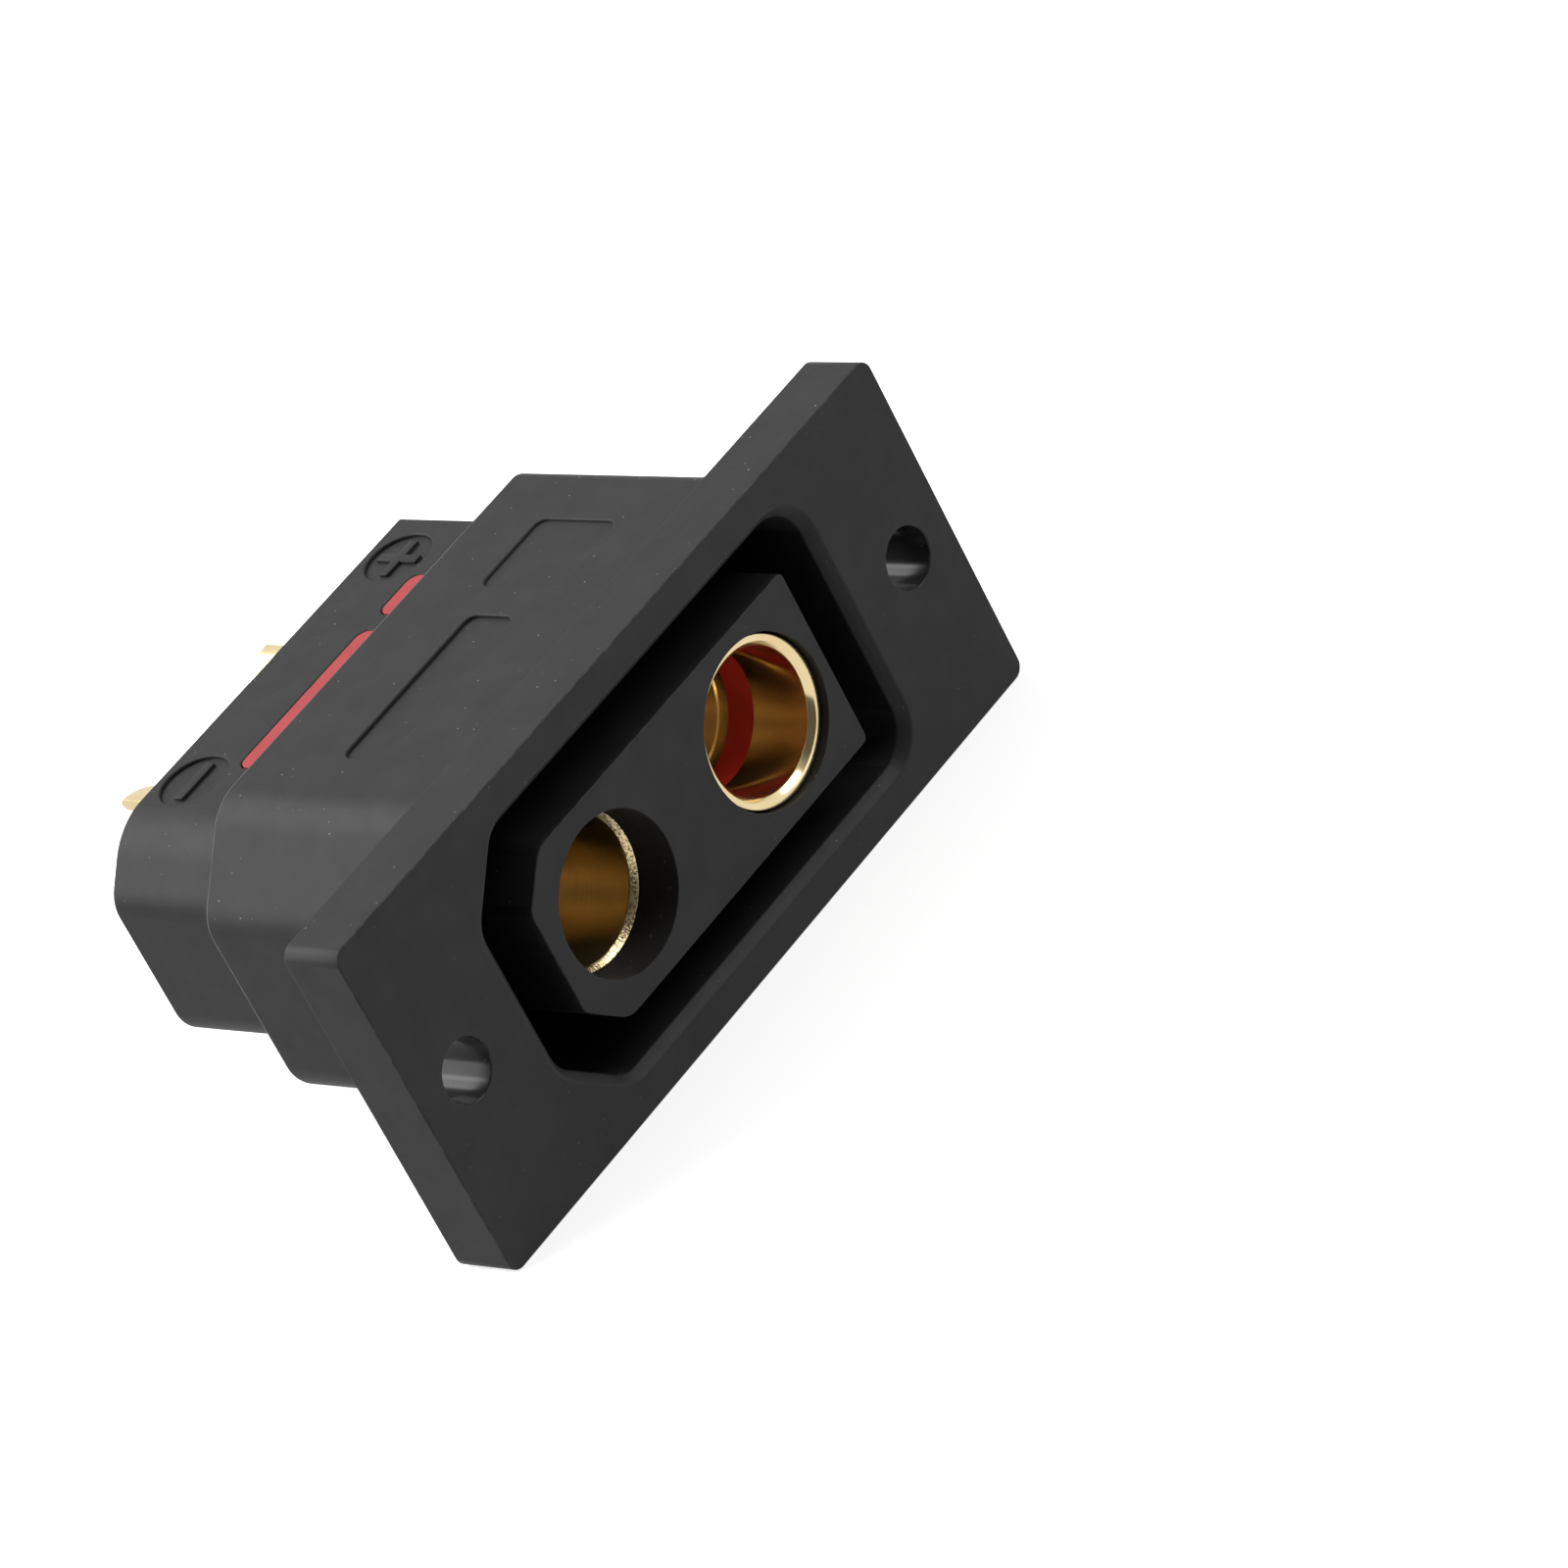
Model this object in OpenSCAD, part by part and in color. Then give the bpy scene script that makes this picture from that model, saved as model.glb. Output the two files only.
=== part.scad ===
/* [Contacts] */
// Bore of both contact sockets, the size of the pins that enter them
contact_bore_d = 8; // [5:0.1:10]
// Distance between the axes of the two contacts
contact_pitch = 14; // [13:0.1:20]
// Wall of the negative socket
socket_wall = 0.4; // [0.4:0.05:0.8]
// Wall of the positive stack: pre-charge ring, spacer and main socket
stack_wall = 0.7; // [0.6:0.05:1.2]
// Chamfer at the mouth of each socket
mouth_chamfer = 0.35; // [0.1:0.05:0.35]
// Depth of the drilled sockets behind the flange's rear face
socket_reach = 15; // [9:0.1:17]
// How far the negative socket sits below the front face
negative_recess = 2.8; // [0.5:0.1:5]
// How far the pre-charge ring sits below the front face
ring_recess = 0.45; // [0.1:0.05:1]
// Length of the pre-charge ring
ring_len = 4.25; // [2:0.05:6]
// Length of the red spacer that keeps the ring off the main socket
spacer_len = 1.85; // [1.2:0.05:3]
// Length of the shallow counterbore in the main socket's mouth
counterbore_len = 0.85; // [0.3:0.05:1.5]
// Radial depth of that counterbore
counterbore_step = 0.1; // [0.05:0.01:0.2]
// Radial gap between the negative contact and its hole
contact_clearance = 0.05; // [0.02:0.01:0.2]
// Radial gap between the positive stack and its hole
stack_clearance = 0.12; // [0.02:0.01:0.2]

/* [Solder cups] */
// Step from the negative socket's outside in to the solder cups
shoulder_step = 0.25; // [0.2:0.05:0.8]
// Wall of each solder cup
cup_wall = 0.75; // [0.55:0.05:1.2]
// Depth of each solder cup
cup_depth = 8.2; // [5:0.1:10]
// How far the cups stand out of the rear face
cup_reach = 6.8; // [5:0.05:12]
// Chamfer on the cup's outer end
cup_chamfer = 0.25; // [0.1:0.05:0.35]
// Length of the closed part of each cup behind the rear face
cup_ring_len = 2.85; // [1:0.05:4]
// How far the side opening of each cup reaches past its axis
cup_opening = 0.25; // [0:0.05:1.5]
// Length of the cup's shank that the rear wall holds
shank_len = 5.65; // [4:0.05:6.5]

/* [Pre-charge resistor] */
// Width of the chip resistor
chip_w = 1.25; // [0.8:0.05:1.6]
// Thickness of the chip resistor
chip_t = 0.42; // [0.3:0.01:0.48]
// Gap on each side of the chip in its slot
chip_clearance = 0.05; // [0.02:0.01:0.15]

/* [Island] */
// Wall of the island beside the positive hole
island_side_wall = 0.88; // [0.6:0.02:2]
// Wall of the island past the end of the positive hole
island_end_wall = 0.78; // [0.6:0.02:3]
// Chamfer on the island's negative end
island_chamfer = 2.4; // [1:0.1:3]
// Rounding of the corners at the island's positive end
island_plus_round = 0.4; // [0.2:0.1:0.8]
// Rounding from the island's top and bottom into its negative chamfers
island_minus_round = 1.6; // [0.2:0.1:2]
// Rounding from those chamfers into the island's negative end
island_side_round = 0.8; // [0.2:0.1:1.2]

/* [Moat] */
// Width of the moat along the long sides
moat_side_gap = 2.58; // [1.5:0.02:4]
// Width of the moat at the ends
moat_end_gap = 2.9; // [1.5:0.05:4]
// Depth of the moat below the front face
moat_depth = 15.2; // [8:0.1:16]
// Bevel round the mouth of the moat
moat_bevel = 0.6; // [0.2:0.05:0.8]
// Chamfer on the moat's negative end
moat_chamfer = 3.65; // [2:0.05:4.5]
// Corner radius at the moat's positive end
moat_plus_round = 2.4; // [0.5:0.1:4]
// Rounding of the chamfer's corners in the moat
moat_minus_round = 2; // [0.5:0.1:2.5]

/* [Front section] */
// Length of the front section behind the flange
front_len = 15.1; // [13.5:0.1:20]
// Shell wall along the long sides
shell_side_wall = 1.72; // [1.4:0.02:3]
// Shell wall at the ends
shell_end_wall = 2; // [1.4:0.05:3]
// Chamfer on the front section's negative end
front_chamfer = 4.6; // [2.5:0.1:6]
// Chamfer on the front section's positive end
front_plus_chamfer = 2.45; // [1.5:0.05:3]
// Rounding of that chamfer's corners
front_plus_round = 1; // [0.3:0.1:1.5]
// Rounding from the front section's top and bottom into its negative chamfers
front_minus_round = 3.5; // [0.5:0.1:6]
// Rounding from those chamfers into the negative end
front_side_round = 2.5; // [0.5:0.1:4]

/* [Rear section] */
// Length of the rear section
rear_len = 9.75; // [8.6:0.05:14]
// Step from the front section down to the rear one, along the long sides
step_side = 2.65; // [1:0.05:3]
// Step from the front section down to the rear one, at the ends
step_end = 2.3; // [1:0.05:2.8]
// Chamfer on the rear section's negative end
rear_chamfer = 3.1; // [2.2:0.1:4.5]
// Chamfer on the rear section's positive end
rear_plus_chamfer = 1.15; // [0.6:0.05:2]
// Rounding of that chamfer's corners
rear_plus_round = 0.3; // [0.1:0.05:0.6]
// Rounding from the rear section's top and bottom into its negative chamfers
rear_minus_round = 4.5; // [0.5:0.1:6]
// Rounding from those chamfers into the negative end
rear_side_round = 2.2; // [0.5:0.1:4]

/* [Flange] */
// Thickness of the flange
flange_t = 3.9; // [3:0.1:6]
// How far the flange stands past the front section along the long sides
flange_side_lip = 0.7; // [0.2:0.05:5]
// How far the flange stands past the front section at each end
flange_end_lip = 7.15; // [6.2:0.05:12]
// Rounding of the flange's corners
flange_round = 0.8; // [0.3:0.1:3]
// Diameter of the two screw holes
screw_hole_d = 3.5; // [2.5:0.1:4.5]
// Distance from the flange's end to the centre of its screw hole
screw_edge = 3.75; // [3:0.05:4]
// Length of the webs that fill the positive corners against the flange
web_len = 2.5; // [1:0.1:4]
// How far the webs stay in from the positive end at the flange
web_inset = 1.4; // [0.6:0.1:2]
// How far the webs stay below the front section's top and bottom
web_drop = 0.25; // [0.15:0.05:0.5]

/* [Markings] */
// Diameter of the two round sign recesses on top of the rear section
sign_d = 4.1; // [3:0.1:4.2]
// Depth of those recesses
sign_depth = 0.2; // [0.15:0.05:0.6]
// Distance from the rear face to the centres of the signs
sign_setback = 2.6; // [2.3:0.05:2.65]
// Distance from the positive end of the rear section to the centre of its sign
plus_sign_inset = 4.45; // [4:0.05:4.7]
// Distance from the negative end of the rear section to the centre of its sign
minus_sign_inset = 6.85; // [6.5:0.05:7.2]
// Length of the coloured markers along the connector's axis
marker_len = 3.1; // [2:0.05:3.6]
// Width of the short marker
short_marker_w = 3.5; // [2:0.05:3.8]
// Width of the long marker
long_marker_w = 11.7; // [6:0.05:12.2]
// Gap between the two markers
marker_gap = 1.35; // [0.8:0.05:1.6]
// Distance from the positive end of the rear section to the markers
marker_inset = 5.8; // [5.6:0.05:5.9]
// Distance from the rear face to the markers
marker_setback = 4.85; // [4.7:0.05:5.1]
// Thickness of the markers
marker_t = 0.8; // [0.5:0.05:1.2]
// Gap round each marker in its pocket
marker_clearance = 0.05; // [0.02:0.01:0.1]
// Rounding of the markers' corners
marker_round = 0.7; // [0.1:0.05:0.9]

/* [Label recesses] */
// Depth of the square label pocket on top of the front section
pocket_depth = 0.15; // [0.1:0.05:0.6]
// Width of the square label pocket
pocket_w = 5.8; // [3:0.05:6]
// Length of the square label pocket along the connector's axis
pocket_len = 5.75; // [3:0.05:6]
// Distance from the positive end of the front section to the pocket
pocket_inset = 6.3; // [5:0.05:8]
// Depth of the label strip beside the pocket
strip_depth = 0.2; // [0.1:0.05:0.6]
// Width of the label strip
strip_w = 11.9; // [6:0.05:12.4]
// Length of the label strip along the connector's axis
strip_len = 3.3; // [2:0.05:5]
// Gap between the pocket and the strip
strip_gap = 2.35; // [1:0.05:3]
// Distance from the flange to the middle of the pocket and the strip
label_y = 7.3; // [5:0.05:9]
// Rounding of the recesses' corners
label_round = 0.7; // [0.2:0.1:1]

/* [Hidden] */
$fn = 96;
// Overlap of a cut past the face that it opens
cut = 1;
// How far the moat's bevel is carried on past each of its edges
overrun = 0.3;
// Thickness of the slabs that the bevel is stretched between
slab = 0.01;
// Height of a drill point for each millimetre of its radius
drill_point = 0.6;

contact_bore_r = contact_bore_d / 2;
contact_x = contact_pitch / 2;
negative_r = contact_bore_r + socket_wall;
stack_r = contact_bore_r + stack_wall;
negative_hole_r = negative_r + contact_clearance;
stack_hole_r = stack_r + stack_clearance;
cup_r = negative_r - shoulder_step;
cup_bore_r = cup_r - cup_wall;
shank_hole_r = cup_r + contact_clearance;

island_w = contact_pitch + 2 * stack_hole_r + 2 * island_end_wall;
island_h = 2 * stack_hole_r + 2 * island_side_wall;
moat_w = island_w + 2 * moat_end_gap;
moat_h = island_h + 2 * moat_side_gap;
front_w = moat_w + 2 * shell_end_wall;
front_h = moat_h + 2 * shell_side_wall;
rear_w = front_w - 2 * step_end;
rear_h = front_h - 2 * step_side;
flange_w = front_w + 2 * flange_end_lip;
flange_h = front_h + 2 * flange_side_lip;
screw_pitch = flange_w - 2 * screw_edge;
// A bevel of an outline widens its chamfered corners by this share of the bevel
chamfer_growth = 2 - sqrt(2);

face_y = -flange_t;
rear_y = front_len + rear_len;
cup_end_y = rear_y + cup_reach;
shoulder_y = rear_y - shank_len;
negative_y = face_y + negative_recess;
ring_y = face_y + ring_recess;
spacer_y = ring_y + ring_len;
positive_y = spacer_y + spacer_len;
sign_y = rear_y - sign_setback;
plus_sign_x = rear_w / 2 - plus_sign_inset;
minus_sign_x = minus_sign_inset - rear_w / 2;
marker_y = rear_y - marker_setback - marker_len / 2;
short_marker_x = rear_w / 2 - marker_inset - short_marker_w / 2;
long_marker_x = short_marker_x - short_marker_w / 2 - marker_gap - long_marker_w / 2;
marker_floor_z = rear_h / 2 - marker_t;
pocket_x = front_w / 2 - pocket_inset - pocket_w / 2;
strip_x = pocket_x - pocket_w / 2 - strip_gap - strip_w / 2;
// Distance from the positive stack's axis to the flat side of the chip resistor
chip_seat = sqrt(pow(stack_r, 2) - pow(chip_w / 2, 2));

function unit(v) = v / norm(v);

// Rounds each corner of a convex outline with its own radius
module rounded_polygon(corners, radii) {
    last = len(corners) - 1;
    before = [for (i = [0:last]) unit(corners[i == 0 ? last : i - 1] - corners[i])];
    after = [for (i = [0:last]) unit(corners[i == last ? 0 : i + 1] - corners[i])];
    half = [for (i = [0:last]) acos(before[i] * after[i]) / 2];
    polygon([
        for (i = [0:last])
            for (way = [before[i], after[i]])
                corners[i] + way * radii[i] / tan(half[i])
    ]);
    for (i = [0:last])
        translate(corners[i] + unit(before[i] + after[i]) * radii[i] / sin(half[i]))
            circle(r = radii[i]);
}

module rounded_rectangle(w, h, r) {
    rounded_polygon(
        [[-w / 2, -h / 2], [w / 2, -h / 2], [w / 2, h / 2], [-w / 2, h / 2]],
        [r, r, r, r]
    );
}

// The keyed outline: chamfered at its negative end, square or less chamfered at its positive end
module keyed_outline(w, h, chamfer, minus_round, side_round, plus_round, plus_chamfer = 0) {
    x = w / 2;
    z = h / 2;
    minus_end = [[chamfer - x, z], [-x, z - chamfer], [-x, chamfer - z], [chamfer - x, -z]];
    square_end = [[x, -z], [x, z]];
    cut_end = [[x - plus_chamfer, -z], [x, plus_chamfer - z], [x, z - plus_chamfer], [x - plus_chamfer, z]];
    plus_end = plus_chamfer > 0 ? cut_end : square_end;
    rounded_polygon(
        concat(minus_end, plus_end),
        concat([minus_round, side_round, side_round, minus_round], [for (corner = plus_end) plus_round])
    );
}

module moat_outline(grow) {
    keyed_outline(
        moat_w + 2 * grow,
        moat_h + 2 * grow,
        moat_chamfer + grow * chamfer_growth,
        moat_minus_round + grow,
        moat_minus_round + grow,
        moat_plus_round + grow
    );
}

module island_outline() {
    keyed_outline(
        island_w,
        island_h,
        island_chamfer,
        island_minus_round,
        island_side_round,
        island_plus_round
    );
}

// Extrudes an outline drawn in X and Z from one Y to another
module along_y(from, to) {
    translate([0, to, 0])
        rotate([90, 0, 0])
            linear_extrude(to - from)
                children();
}

// Extrudes an outline drawn in X and Y down from the given height
module down_from(top, depth) {
    translate([0, 0, top - depth])
        linear_extrude(depth + cut)
            children();
}

// Turns a profile of radius and Y about a contact's axis
module turned(x, profile) {
    translate([x, 0, 0])
        rotate([-90, 0, 0])
            rotate_extrude()
                polygon(profile);
}

module bore(x, r, from, to) {
    translate([x, from, 0])
        rotate([-90, 0, 0])
            cylinder(r = r, h = to - from);
}

module moat() {
    difference() {
        union() {
            along_y(face_y - cut, face_y + moat_depth)
                moat_outline(0);
            hull($fn = 32) {
                along_y(face_y - overrun - slab, face_y - overrun)
                    moat_outline(moat_bevel + overrun);
                along_y(face_y + moat_bevel + overrun, face_y + moat_bevel + overrun + slab)
                    moat_outline(-overrun);
            }
        }
        along_y(face_y - 2 * cut, face_y + moat_depth + cut)
            island_outline();
    }
}

// Triangular webs that fill the cut positive corners against the flange
module corner_webs() {
    x = front_w / 2;
    translate([0, 0, web_drop - front_h / 2])
        linear_extrude(front_h - 2 * web_drop)
            polygon([
                [0, face_y / 2],
                [x - web_inset, face_y / 2],
                [x - web_inset, 0],
                [x - front_plus_chamfer - web_drop, web_len],
                [0, web_len],
            ]);
}

module sign_recess(x) {
    translate([x, sign_y, 0])
        down_from(rear_h / 2, sign_depth)
            circle(d = sign_d);
}

module marker_pocket(x, w) {
    translate([x, marker_y, 0])
        down_from(rear_h / 2, marker_t)
            rounded_rectangle(w, marker_len, marker_round);
}

module marker(x, w) {
    translate([x, marker_y, marker_floor_z])
        linear_extrude(marker_t)
            rounded_rectangle(w - 2 * marker_clearance, marker_len - 2 * marker_clearance, marker_round);
}

module label_recess(x, w, l, depth) {
    translate([x, label_y, 0])
        down_from(front_h / 2, depth)
            rounded_rectangle(w, l, label_round);
}

module contact_holes() {
    bore(-contact_x, negative_hole_r, face_y - cut, shoulder_y);
    bore(contact_x, stack_hole_r, face_y - cut, shoulder_y);
    for (x = [-contact_x, contact_x])
        bore(x, shank_hole_r, face_y - cut, rear_y + cut);
}

module housing() {
    color("#3b3c3d")
        difference() {
            union() {
                along_y(face_y, 0)
                    rounded_rectangle(flange_w, flange_h, flange_round);
                along_y(face_y / 2, front_len)
                    keyed_outline(
                        front_w,
                        front_h,
                        front_chamfer,
                        front_minus_round,
                        front_side_round,
                        front_plus_round,
                        front_plus_chamfer
                    );
                along_y(face_y / 2, rear_y)
                    keyed_outline(
                        rear_w,
                        rear_h,
                        rear_chamfer,
                        rear_minus_round,
                        rear_side_round,
                        rear_plus_round,
                        rear_plus_chamfer
                    );
                corner_webs();
            }
            moat();
            contact_holes();
            for (side = [-1, 1])
                bore(side * screw_pitch / 2, screw_hole_d / 2, face_y - cut, cut);
            sign_recess(plus_sign_x);
            sign_recess(minus_sign_x);
            marker_pocket(short_marker_x, short_marker_w);
            marker_pocket(long_marker_x, long_marker_w);
            label_recess(pocket_x, pocket_w, pocket_len, pocket_depth);
            label_recess(strip_x, strip_w, strip_len, strip_depth);
        }
}

module short_marker() {
    color("#d8322f")
        marker(short_marker_x, short_marker_w);
}

module long_marker() {
    color("#d8322f")
        marker(long_marker_x, long_marker_w);
}

// The drilled end of a contact and its solder cup, from the socket's floor round to the shoulder
function contact_tail(body_r) = [
    [contact_bore_r, socket_reach],
    [0, socket_reach + contact_bore_r * drill_point],
    [0, cup_end_y - cup_depth - cup_bore_r * drill_point],
    [cup_bore_r, cup_end_y - cup_depth],
    [cup_bore_r, cup_end_y - cup_chamfer],
    [cup_bore_r + cup_chamfer, cup_end_y],
    [cup_r - cup_chamfer, cup_end_y],
    [cup_r, cup_end_y - cup_chamfer],
    [cup_r, shoulder_y],
    [body_r, shoulder_y],
];

// The opening in the outer side of a solder cup, with outward as the sign of its contact's X
module side_opening(outward) {
    inner_x = outward * (contact_x - cup_opening);
    outer_x = outward * (contact_x + cup_r + cut);
    translate([min(inner_x, outer_x), rear_y + cup_ring_len, -cup_r - cut])
        cube([abs(outer_x - inner_x), cup_reach, 2 * cup_r + 2 * cut]);
}

module negative_contact() {
    color("#d9b561")
        difference() {
            turned(-contact_x, concat(contact_tail(negative_r), [
                [negative_r, negative_y],
                [contact_bore_r + mouth_chamfer, negative_y],
                [contact_bore_r, negative_y + mouth_chamfer],
            ]));
            side_opening(-1);
        }
}

module positive_contact() {
    mouth_r = contact_bore_r + counterbore_step;
    color("#d9b561")
        difference() {
            turned(contact_x, concat(contact_tail(stack_r), [
                [stack_r, positive_y],
                [mouth_r, positive_y],
                [mouth_r, positive_y + counterbore_len],
                [contact_bore_r, positive_y + counterbore_len],
            ]));
            side_opening(1);
        }
}

module precharge_ring() {
    color("#e0bf6c")
        turned(contact_x, [
            [contact_bore_r, spacer_y],
            [stack_r, spacer_y],
            [stack_r, ring_y],
            [contact_bore_r + mouth_chamfer, ring_y],
            [contact_bore_r, ring_y + mouth_chamfer],
        ]);
}

module spacer_ring() {
    color("#a81418")
        difference() {
            turned(contact_x, [
                [contact_bore_r, spacer_y],
                [stack_r, spacer_y],
                [stack_r, positive_y],
                [contact_bore_r, positive_y],
            ]);
            translate([contact_x - chip_w / 2 - chip_clearance, spacer_y - cut, -chip_seat - cut])
                cube([chip_w + 2 * chip_clearance, spacer_len + 2 * cut, cut + chip_t + chip_clearance]);
        }
}

module precharge_resistor() {
    color("#2b2b30")
        translate([contact_x - chip_w / 2, spacer_y, -chip_seat])
            cube([chip_w, spacer_len, chip_t]);
}

housing();
short_marker();
long_marker();
negative_contact();
positive_contact();
precharge_ring();
spacer_ring();
precharge_resistor();
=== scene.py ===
"""Looks of a panel-mount battery connector: a keyed black socket with gold-plated contacts.

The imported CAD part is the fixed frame. The housing is a softened copy of its CAD solid with the polarity
signs added, the contacts and the pre-charge ring are turned anew with rounded lips, and the red inlays are
cut anew with broken edges. The spacer ring and the chip resistor keep their CAD solids.
"""

import logging
import math
from contextlib import contextmanager
from dataclasses import dataclass, replace
from enum import Enum
from functools import cached_property, partial, reduce
from typing import Callable, Iterator, Sequence

import bmesh
import bpy
from mathutils import Matrix, Vector


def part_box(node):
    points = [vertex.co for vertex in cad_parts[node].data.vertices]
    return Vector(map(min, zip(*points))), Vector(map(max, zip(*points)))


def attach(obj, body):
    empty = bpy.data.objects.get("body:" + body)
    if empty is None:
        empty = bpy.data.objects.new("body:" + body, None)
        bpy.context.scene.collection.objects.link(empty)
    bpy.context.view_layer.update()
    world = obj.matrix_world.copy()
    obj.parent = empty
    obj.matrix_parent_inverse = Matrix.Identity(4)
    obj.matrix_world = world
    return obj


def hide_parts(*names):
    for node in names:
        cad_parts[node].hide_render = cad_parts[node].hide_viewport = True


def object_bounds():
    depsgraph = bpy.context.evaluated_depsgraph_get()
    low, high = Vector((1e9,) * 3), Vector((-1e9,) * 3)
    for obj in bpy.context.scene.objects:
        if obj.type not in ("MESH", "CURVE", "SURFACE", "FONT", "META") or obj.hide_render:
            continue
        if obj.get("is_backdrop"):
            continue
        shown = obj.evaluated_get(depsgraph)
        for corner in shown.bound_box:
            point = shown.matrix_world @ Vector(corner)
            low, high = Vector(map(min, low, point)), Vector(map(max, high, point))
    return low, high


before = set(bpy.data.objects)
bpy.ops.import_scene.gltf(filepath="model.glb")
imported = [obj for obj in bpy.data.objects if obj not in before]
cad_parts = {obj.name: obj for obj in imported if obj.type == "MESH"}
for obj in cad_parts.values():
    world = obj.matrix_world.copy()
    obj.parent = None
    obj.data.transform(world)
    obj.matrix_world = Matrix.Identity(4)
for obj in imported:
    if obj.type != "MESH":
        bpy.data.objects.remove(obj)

Socket = bpy.types.NodeSocket
Colour = tuple[float, float, float]
Place = tuple[float, float, float]
Span = tuple[float, float]
Cut = tuple[int, float]

MM = 0.001
BODY = "root"
PHOTO_PIXELS = 1600
SENSOR_MM = 36.0
# Points closer than this are taken as one
MERGE = 0.002 * MM
# A normal or an edge lies along an axis if at least this share of its length does
FACING = 0.99
# How strongly large faces count in weighted normals: 50 is neutral and 100 the most
AREA_WEIGHT = 100
# Values between which the bulk of a noise lies
NOISE_BULK = (0.3, 0.7)
BLACK = (0.0, 0.0, 0.0)
WHITE = (1.0, 1.0, 1.0, 1.0)

log = logging.getLogger("connector")


class Slot(Enum):
    """Names of the record's material slots for the new pieces."""

    NYLON = "black_nylon"
    MARKER = "red_marker"
    GOLD = "gold_plate"


class Wires:
    """A hand for wiring a node tree."""

    def __init__(self, tree: bpy.types.NodeTree) -> None:
        """Take the tree to wire."""
        self.tree = tree

    def node(self, kind: str, **settings: object) -> bpy.types.Node:
        """Add a node.

        Args:
            kind: Blender's name of the node type.
            settings: Properties of the node by name.

        Returns:
            The new node.
        """
        made = self.tree.nodes.new(kind)
        for name, value in settings.items():
            setattr(made, name, value)
        return made

    def wire(self, source: Socket, target: Socket) -> None:
        """Link an output to an input."""
        self.tree.links.new(source, target)

    def spread(self, value: Socket, span: Span, to: Span) -> Socket:
        """Map one range of a value to another, clamped.

        Args:
            value: The value to map.
            span: Lowest and highest value that count.
            to: What they become.

        Returns:
            The mapped value.
        """
        ranged = self.node("ShaderNodeMapRange")
        for name, number in zip(("From Min", "From Max", "To Min", "To Max"), (*span, *to)):
            ranged.inputs[name].default_value = number
        self.wire(value, ranged.inputs["Value"])
        return ranged.outputs["Result"]

    def math(self, operation: str, *values: Socket | float) -> Socket:
        """Reckon with wired values and constants.

        Args:
            operation: Blender's name of the operation.
            values: What goes in, in order.

        Returns:
            The result.
        """
        made = self.node("ShaderNodeMath", operation=operation)
        for socket, value in zip(made.inputs, values):
            if isinstance(value, (int, float)):
                socket.default_value = value
            else:
                self.wire(value, socket)
        return made.outputs["Value"]

    def product(self, *values: Socket | float) -> Socket:
        """Multiply wired values and constants."""
        return reduce(partial(self.math, "MULTIPLY"), values)

    def between(self, value: Socket, span: Span) -> Socket:
        """Tell whether a value lies in a range.

        Args:
            value: The value to test.
            span: Lowest and highest value of the range.

        Returns:
            1 inside the range, 0 outside.
        """
        past_low = self.math("GREATER_THAN", value, span[0])
        return self.product(past_low, self.math("LESS_THAN", value, span[1]))

    def seen_ray(self, *kinds: str) -> Socket:
        """Tell some kinds of rays from the others.

        Args:
            kinds: Kinds of rays as the Light Path node names them.

        Returns:
            1 for such a ray, 0 for others.
        """
        path = self.node("ShaderNodeLightPath")
        total = path.outputs[kinds[0]]
        for kind in kinds[1:]:
            total = self.math("MAXIMUM", total, path.outputs[kind])
        return total


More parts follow.
